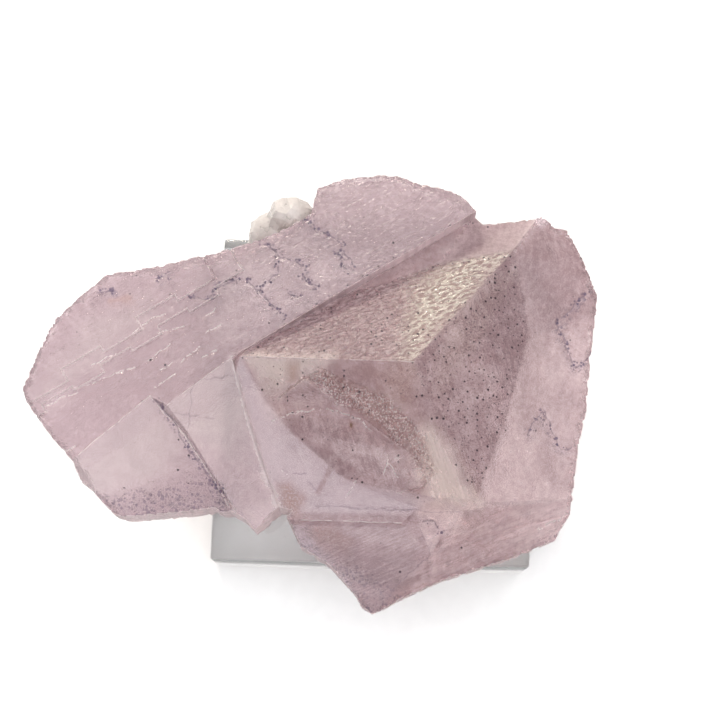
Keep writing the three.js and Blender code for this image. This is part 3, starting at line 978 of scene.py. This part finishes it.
hazy = plus(attribute(tree, "haze"), remap(grain, 0, 1, -GRAIN_SWING, GRAIN_SWING))
hazy = plus(hazy, times(worn, SCRATCH_SWING))
hazy = plus(hazy, times(centred(frost), remap(speckled, 0, 1, *FROST_SWING)))
hazy = plus(hazy, times(times(centred(waves), wavy), WAVE_SWING))
tone = blend(hazy, CLEAR_MAUVE, FROSTED_PINK)
print("nodes so far:", len(tree.nodes))

# %% [markdown]
# ## Fluorite: tints
# Over that tone lie thin tints: cream or lilac by the warmth, a grey painted sheen on the steps that stands
# for the sky's reflection, tan and painted glints on the glittering end of the far face, and rust in the
# hollows.

# %% Tints of the skin
CREAM_SHARE = 0.75
LILAC_SHARE = 0.5
SHEEN_GREY_SHARE = 0.7
TAN_SHARE = 0.5
RUST_SHARE = 0.55
PAINTED_RIPPLE_GLINT_RANGE = (0.33, 0.58)
SOLID_RUST = (1, 1.6)

warm = attribute(tree, "warmth")
tone = blend(remap(warm, NEUTRAL, 1, 0, CREAM_SHARE), tone, CREAM)
tone = blend(remap(warm, NEUTRAL, 0, 0, LILAC_SHARE), tone, LILAC)
# Painted reflection: a grey sheen on the steps stands for the sky's reflection.
tone = blend(remap(attribute(tree, "painted_sheen"), 0, 1, 0, SHEEN_GREY_SHARE), tone, STEP_SHEEN_GREY)
glittering = attribute(tree, "glitter")
tone = blend(times(glittering, TAN_SHARE), tone, RIPPLE_TAN)
# Painted highlight: the wave crests of the glittering end are whitened as glints of the skimming lamp.
tone = blend(times(remap(waves, *PAINTED_RIPPLE_GLINT_RANGE), glittering), tone, PAINTED_RIPPLE_GLINT)
rusty = attribute(tree, "rust")
tone = blend(times(rusty, RUST_SHARE), tone, RUST_BROWN)
tone = blend(remap(rusty, *SOLID_RUST), tone, SPECK_BROWN)
print("nodes with tints:", len(tree.nodes))

# %% [markdown]
# ## Fluorite: specks, cracks and white lines
# Two sizes of black specks pepper the pyramid. Purple grains gather along the cracks and on the grainy
# rims. Bruised edges and etched dashes are white. The flecks are white painted glints, and the white of
# the upright walls is partly the frost of the chipped rim and partly painted light that lifts their shade.
# The lines come from the stored steps, so they stay crisp, and the grain of the stone makes their borders
# ragged.

# %% Marks on the skin
CRACK_WIDTH = 0.16
HAIR_WIDTH = 0.12
EDGE_WIDTH = 0.8
DASH_WIDTH = 0.2
STAIN_RANGE = (0.9, 0.35)
PAINTED_GLINT_RANGE = (0.6, 0.76)
PEPPER_SHARES = (0.01, 0.5)
PATCHY_SWING = (0.6, 1.4)
DUST_SHARE = 0.55
GRAINY_STAIN = 0.7
STAIN_GAPS = (0.1, 0.4)
CRACK_STRENGTH = 0.6
HAIR_STRENGTH = 0.4
BRUISE_GAPS = (0.1, 0.5)
BRUISE_STRENGTHS = (0.25, 0.9)
DASH_GAPS = (0.25, 0.5)
RIM_WHITE_AND_PAINTED_LIGHT = 0.7
WHITE_STRENGTH = 0.8
DUST_STRENGTH = 0.7


def distance(way):
    """Distance to the nearest path, from the stored step to it, but never under the least it can be."""
    step = node(tree, "SeparateXYZ", Vector=attribute(tree, way, "Vector")).outputs
    square = plus(times(step["X"], step["X"]), times(step["Y"], step["Y"]))
    return larger(maths("SQRT", square), step["Z"])


def line(gap, width, raggedness):
    """Full on a path and gone at a width from it; the grain of the stone makes it ragged."""
    shift = width * raggedness
    ragged_gap = plus(gap, remap(grain, 0, 1, -shift, shift))
    return remap(ragged_gap, width, width / 3)


patchy = use(tree, mottle, Vector=place, Scale=0.5, Detail=1)
grainy_skin = attribute(tree, "grainy")
pepper_share = times(remap(speckled, 0, 1, *PEPPER_SHARES), remap(patchy, 0, 1, *PATCHY_SWING))
pepper = use(tree, specks, Vector=place, Scale=1.3, Size=0.22, Share=pepper_share)
dust_share = times(larger(pepper_share, grainy_skin), DUST_SHARE)
dust = use(tree, specks, Vector=place, Scale=2.9, Size=0.26, Share=dust_share)
grains = use(tree, specks, Vector=place, Scale=1.9, Size=0.45, Share=0.6)

crack_gap = distance("crack_way")
stain_reach = larger(remap(crack_gap, *STAIN_RANGE), times(grainy_skin, GRAINY_STAIN))
stained = times(times(grains, stain_reach), remap(patchy, *STAIN_GAPS))
cracked = times(line(crack_gap, CRACK_WIDTH, 0.5), CRACK_STRENGTH)
cracked = larger(cracked, times(line(distance("hair_way"), HAIR_WIDTH, 0.4), HAIR_STRENGTH))
bruise_strength = remap(patchy, *BRUISE_GAPS, *BRUISE_STRENGTHS)
bruised = times(line(distance("edge_way"), EDGE_WIDTH, 0.25), bruise_strength)
dashed = times(line(distance("dash_way"), DASH_WIDTH, 0.5), remap(grain, *DASH_GAPS))
# Painted highlight: white flecks stand for glints on the scar and the brown hollows.
painted_glint_flecks = times(remap(frost, *PAINTED_GLINT_RANGE), attribute(tree, "painted_glint_weight"))
# The rim white is partly frost and partly painted light on shaded upright walls.
marks_and_painted_light = larger(dashed, times(attribute(tree, "rim"), RIM_WHITE_AND_PAINTED_LIGHT))
marks_and_painted_light = larger(larger(bruised, marks_and_painted_light), painted_glint_flecks)

tone = blend(times(marks_and_painted_light, WHITE_STRENGTH), tone, WHITE_OF_MARKS_AND_PAINTED_LIGHT)
tone = blend(larger(stained, cracked), tone, STAIN_PURPLE)
tone = blend(pepper, tone, SPECK_BLACK)
tone = blend(times(dust, DUST_STRENGTH), tone, SPECK_BLACK)
tree.links.new(tone, skin.inputs["Base Color"])
print("nodes with marks:", len(tree.nodes))

# %% [markdown]
# ## Fluorite: gloss and relief
# Clean skin is glossy, and the broken rim, the underside and every white mark are dull. A bump adds the
# relief that is too fine for the mesh: etch lines along the steps of the flat crystal, frost, waves and
# scratches.

# %% Roughness and relief
SKIN_ROUGHNESS = (0.1, 0.24)
BROKEN_ROUGHNESS = 0.6
WHITE_ROUGHNESS = 0.5
ETCH_TURN = math.radians(33.3)
ETCH_SCALE = (0.16, 2.4, 1)
ETCH_RELIEF = 0.35
FROST_RELIEF = 0.4
WAVE_RELIEF = 2
SCRATCH_RELIEF = 0.8
BUMP_STRENGTH = 0.6
BUMP_HEIGHT = 0.12 * MM

roughness = remap(grain, 0, 1, *SKIN_ROUGHNESS)
roughness = maths("SUBTRACT", roughness, attribute(tree, "gloss"))
roughness = larger(roughness, times(attribute(tree, "rough"), BROKEN_ROUGHNESS))
roughness = larger(roughness, times(marks_and_painted_light, WHITE_ROUGHNESS))
tree.links.new(roughness, skin.inputs["Roughness"])

etch_place = node(tree, "Mapping", Vector=turned(ETCH_TURN), Scale=ETCH_SCALE).outputs["Vector"]
etch_lines = use(tree, mottle, Vector=etch_place, Scale=1, Detail=0)
etched = times(etch_lines, times(attribute(tree, "etch"), ETCH_RELIEF))
relief = plus(etched, times(frost, FROST_RELIEF))
relief = plus(relief, times(times(waves, wavy), WAVE_RELIEF))
relief = plus(relief, times(worn, SCRATCH_RELIEF))
bump = node(tree, "Bump", Height=relief, Strength=BUMP_STRENGTH, Distance=BUMP_HEIGHT)
tree.links.new(bump.outputs["Normal"], skin.inputs["Normal"])
print("nodes with relief:", len(tree.nodes))

# %% [markdown]
# ## Fluorite: the clear body
# Fluorite bends light very little, so its index is low for a stone. An absorption through the depth makes
# thick parts pinker than thin ones. Smooth shading by angle keeps the crystal's edges sharp.

# %% Body of the stone
FLUORITE_IOR = 1.434
FLUORITE_TRANSMISSION = 0.72
BODY_PINK = (0.86, 0.62, 0.68, 1)
BODY_DENSITY = 7
STONE_EDGE_ANGLE = math.radians(28)

skin.inputs["IOR"].default_value = FLUORITE_IOR
skin.inputs["Transmission Weight"].default_value = FLUORITE_TRANSMISSION
body = node(tree, "VolumeAbsorption", Color=BODY_PINK, Density=BODY_DENSITY)
tree.links.new(body.outputs["Volume"], tree.nodes["Material Output"].inputs["Volume"])
stone.data.materials.append(fluorite)
pick(stone)
bpy.ops.object.shade_smooth_by_angle(angle=STONE_EDGE_ANGLE)
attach(stone, "root")
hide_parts("fluorite")
print("fluorite nodes:", len(tree.nodes))

# %% [markdown]
# ## The acrylic block
# The block is cast acrylic, sawn to size and polished, with its edges eased. A cube scaled to the block's
# box with a small bevel is all of it.

# %% Acrylic block
BLOCK_EASE = 0.5 * MM
BLOCK_EDGE_ANGLE = math.radians(40)

base_low, base_high = (Vector(corner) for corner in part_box("acrylic_base"))
bpy.ops.object.select_all(action="DESELECT")
bpy.ops.mesh.primitive_cube_add(size=1, location=(0, 0, 0))
block = bpy.context.object
block.name = "acrylic_block"
bpy.ops.object.mode_set(mode="EDIT")
bpy.ops.mesh.select_all(action="SELECT")
bpy.ops.transform.resize(value=base_high - base_low)
bpy.ops.transform.translate(value=(base_high + base_low) / 2)
bpy.ops.mesh.bevel(offset=BLOCK_EASE, segments=3, affect="EDGES")
bpy.ops.object.mode_set(mode="OBJECT")
bpy.ops.object.shade_smooth_by_angle(angle=BLOCK_EDGE_ANGLE)
print("block box:", [round(value / MM, 1) for value in base_high - base_low], "mm")

# %% [markdown]
# ## Clear acrylic
# The material is clear, with a polish that has worn a little unevenly and a few grains of dust on it.

# %% Acrylic material
ACRYLIC_IOR = 1.49
ACRYLIC_CLEAR = colour(250, 251, 251)
DUST_GREY = colour(200, 198, 198)
POLISH_ROUGHNESS = (0.015, 0.06)
DUST_ROUGHNESS = 0.5

acrylic, tree, skin = new_material("acrylic")
place = in_millimetres(tree)
polish = use(tree, mottle, Vector=place, Scale=0.12, Detail=6)
grit = use(tree, specks, Vector=place, Scale=0.5, Size=0.09, Share=0.3)
tree.links.new(blend(grit, ACRYLIC_CLEAR, DUST_GREY), skin.inputs["Base Color"])
roughness = larger(remap(polish, 0, 1, *POLISH_ROUGHNESS), times(grit, DUST_ROUGHNESS))
tree.links.new(roughness, skin.inputs["Roughness"])
skin.inputs["IOR"].default_value = ACRYLIC_IOR
skin.inputs["Transmission Weight"].default_value = 1
block.data.materials.append(acrylic)
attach(block, "root")
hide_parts("acrylic_base")
print("acrylic nodes:", len(tree.nodes))

# %% [markdown]
# ## The putty
# A pat of white putty is pressed between the block and the stone's back. It is soft, so its lumps run
# into each other: a voxel remesh of the frame's pats joins them, a smooth rounds them, and a cloud
# texture dents them. A strong decimate then leaves the flat facets of pinched putty.

# %% Putty
PUTTY_VOXEL = 0.3 * MM
PUTTY_DENT_DEPTH = 0.6 * MM
PUTTY_DENT_SIZE = 2.4 * MM
PUTTY_EDGE_ANGLE = math.radians(25)


def finish(piece, name, kind, **settings):
    """Add a modifier with its settings and apply it."""
    modifier = piece.modifiers.new(name, kind)
    for setting, value in settings.items():
        setattr(modifier, setting, value)
    bpy.ops.object.modifier_apply(modifier=name)


putty = copy_of_node("mounting_putty", "putty_pat")
pick(putty)
finish(putty, "join", "REMESH", mode="VOXEL", voxel_size=PUTTY_VOXEL)
finish(putty, "soften", "SMOOTH", factor=0.5, iterations=6)
bite(putty, "dents", np.ones(len(putty.data.vertices)), PUTTY_DENT_DEPTH, PUTTY_DENT_SIZE)
finish(putty, "pinch", "DECIMATE", ratio=0.03)
bpy.ops.object.shade_smooth_by_angle(angle=PUTTY_EDGE_ANGLE)
print("putty:", len(putty.data.polygons), "faces")

# %% [markdown]
# ## White putty
# The putty is milky more than white: light enters it a little way. A mottle clouds it, a few grains of
# grit stick to it, and a fine bump takes the shine off its facets.

# %% Putty material
PUTTY_SHADE = colour(200, 192, 188)
PUTTY_LIGHT = colour(224, 216, 212)
GRIT_MAUVE = colour(150, 130, 140)
PUTTY_ROUGHNESS = (0.25, 0.4)
PUTTY_TRANSMISSION = 0.35
PUTTY_IOR = 1.4
PUTTY_BUMP_HEIGHT = 0.1 * MM

chalk, tree, skin = new_material("putty")
place = in_millimetres(tree)
cloudy = use(tree, mottle, Vector=place, Scale=0.5, Detail=5)
grit = use(tree, specks, Vector=place, Scale=1.2, Size=0.12, Share=0.2)
tone = blend(cloudy, PUTTY_SHADE, PUTTY_LIGHT)
tone = blend(times(grit, 0.5), tone, GRIT_MAUVE)
tree.links.new(tone, skin.inputs["Base Color"])
tree.links.new(remap(cloudy, 0, 1, *PUTTY_ROUGHNESS), skin.inputs["Roughness"])
skin.inputs["Transmission Weight"].default_value = PUTTY_TRANSMISSION
skin.inputs["IOR"].default_value = PUTTY_IOR
crumbs = use(tree, mottle, Vector=place, Scale=2, Detail=4)
bump = node(tree, "Bump", Height=crumbs, Strength=0.3, Distance=PUTTY_BUMP_HEIGHT)
tree.links.new(bump.outputs["Normal"], skin.inputs["Normal"])
putty.data.materials.append(chalk)
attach(putty, "root")
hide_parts("mounting_putty")
print("putty nodes:", len(tree.nodes))

# %% [markdown]
# ## Floor
# A plain sheet of white paper keeps the clear stone readable. It lies a hair below the block, so that the
# two faces don't flicker, and a faint mottle stands for its fibres.

# %% Floor
FLOOR_SIZE = 4
FLOOR_DROP = 0.03 * MM
PAPER_SHADE = colour(242, 242, 242)
PAPER_LIGHT = colour(245, 245, 245)
PAPER_ROUGHNESS = 0.8

bpy.ops.object.select_all(action="DESELECT")
bpy.ops.mesh.primitive_plane_add(size=FLOOR_SIZE, location=(0, 0, -FLOOR_DROP))
floor = bpy.context.object
floor.name = "floor"
paper, tree, skin = new_material("floor_paper")
fibres = use(tree, mottle, Vector=in_millimetres(tree), Scale=0.4, Detail=3)
tree.links.new(blend(fibres, PAPER_SHADE, PAPER_LIGHT), skin.inputs["Base Color"])
skin.inputs["Roughness"].default_value = PAPER_ROUGHNESS
floor.data.materials.append(paper)
print("floor:", FLOOR_SIZE, "m wide")

# %% [markdown]
# ## Light
# A soft, even sky and a large softbox overhead light the stone from above. A small, warm softbox behind
# the specimen skims the rippled far face and makes it glitter, and a weak one over the viewer's shoulder
# fills the near faces.

# %% Light
SKY_COLOUR = (0.97, 0.98, 1, 1)
SKY_STRENGTH = 0.45
AIM = Vector((0, 0, 25)) * MM
WARM = (1, 0.92, 0.78)
WHITE = (1, 1, 1)
# Each row: the lamp's name, its place and size in millimetres, its power in watts, and its tint.
LAMPS = [
    ("far_skim", (-115, 390, 215), (130, 80), 1.4, WARM),
    ("overhead", (0, 30, 450), (700, 700), 2.95, WHITE),
    ("viewer_fill", (-50, -300, 410), (350, 350), 0.5, WHITE),
]


def softbox(name, place, size, power, tint):
    bpy.ops.object.light_add(type="AREA", location=Vector(place) * MM)
    lamp = bpy.context.object
    lamp.name = name
    lamp.data.shape = "RECTANGLE"
    lamp.data.size, lamp.data.size_y = (value * MM for value in size)
    lamp.data.energy = power
    lamp.data.color = tint
    lamp.rotation_euler = (AIM - lamp.location).to_track_quat("-Z", "Y").to_euler()


world = bpy.data.worlds.new("studio")
bpy.context.scene.world = world
world.use_nodes = True
sky = world.node_tree.nodes["Background"]
sky.inputs["Color"].default_value = SKY_COLOUR
sky.inputs["Strength"].default_value = SKY_STRENGTH
for lamp_row in LAMPS:
    softbox(*lamp_row)
bpy.context.scene.view_settings.view_transform = "Standard"
print("lamps:", [lamp_row[0] for lamp_row in LAMPS])
